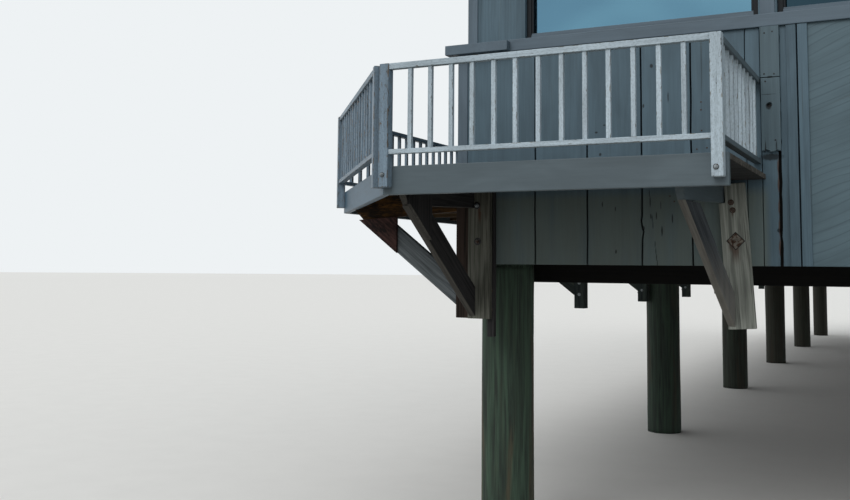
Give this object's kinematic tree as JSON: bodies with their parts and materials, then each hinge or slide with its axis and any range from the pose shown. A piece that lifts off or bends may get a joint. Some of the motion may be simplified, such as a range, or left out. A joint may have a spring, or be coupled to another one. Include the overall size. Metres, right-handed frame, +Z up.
{
  "type": "beach lifeguard tower",
  "caption": "Long timber beach tower on round piles, with a window band, a hipped roof and a railed corner balcony on knee braces.",
  "frame": {"origin": "middle of the footprint's box, roof and balcony included, at the level of the piles' feet", "axes": "+Z up, the front wall with the short balcony faces -Y, the long balcony runs along the -X side, and the building's length is along Y"},
  "size_m": [6.572, 23.626, 5.4468],
  "materials": {
    "pile_timber": "weathered, dark green brown",
    "frame_timber": "weathered, dark brown",
    "floor_timber": "matte boards",
    "wall_paint": "matte blue grey paint",
    "trim_paint": "matte blue grey paint",
    "window_pane": "clear, blue green",
    "deck_timber": "weathered",
    "bracket_timber": "weathered grey",
    "stained_timber": "rust stained",
    "rail_timber": "pale weathered grey",
    "roof_cover": "matte shingles",
    "soffit_timber": "matte grey"
  },
  "bodies": {
    "root": {"pile_row_1": "pile_timber", "pile_row_2": "pile_timber", "pile_row_3": "pile_timber", "pile_row_4": "pile_timber", "pile_row_5": "pile_timber", "pile_row_6": "pile_timber", "cross_girders": "frame_timber", "floor_joists": "frame_timber", "floor_boards": "floor_timber", "front_lower_wall": "wall_paint", "rear_lower_wall": "wall_paint", "left_lower_wall": "wall_paint", "right_lower_wall": "wall_paint", "front_upper_wall": "wall_paint", "rear_upper_wall": "wall_paint", "left_upper_wall": "wall_paint", "right_upper_wall": "wall_paint", "balcony_door": "wall_paint", "sill_beams": "trim_paint", "corner_ledge": "trim_paint", "corner_boards": "trim_paint", "rail_end_board": "trim_paint", "seam_battens": "trim_paint", "window_frames": "trim_paint", "front_edge_board": "trim_paint", "cut_edge_board": "trim_paint", "side_edge_board": "trim_paint", "eave_boards": "trim_paint", "window_glass": "window_pane", "front_deck": "deck_timber", "side_deck": "deck_timber", "deck_joists": "deck_timber", "bracket_joists": "deck_timber", "front_left_plank": "bracket_timber", "front_left_brace": "bracket_timber", "front_right_plank": "bracket_timber", "front_right_brace": "bracket_timber", "corner_brace": "bracket_timber", "front_gusset": "bracket_timber", "plank_hanger": "bracket_timber", "side_studs": "bracket_timber", "side_braces": "bracket_timber", "corner_stud": "stained_timber", "corner_gusset": "stained_timber", "front_posts": "rail_timber", "side_posts": "rail_timber", "front_railing": "rail_timber", "cut_railing": "rail_timber", "end_railings": "rail_timber", "side_railing": "rail_timber", "roof_left": "roof_cover", "roof_right": "roof_cover", "roof_front": "roof_cover", "roof_rear": "roof_cover", "soffit_boards": "soffit_timber"}
  },
  "joints": []
}
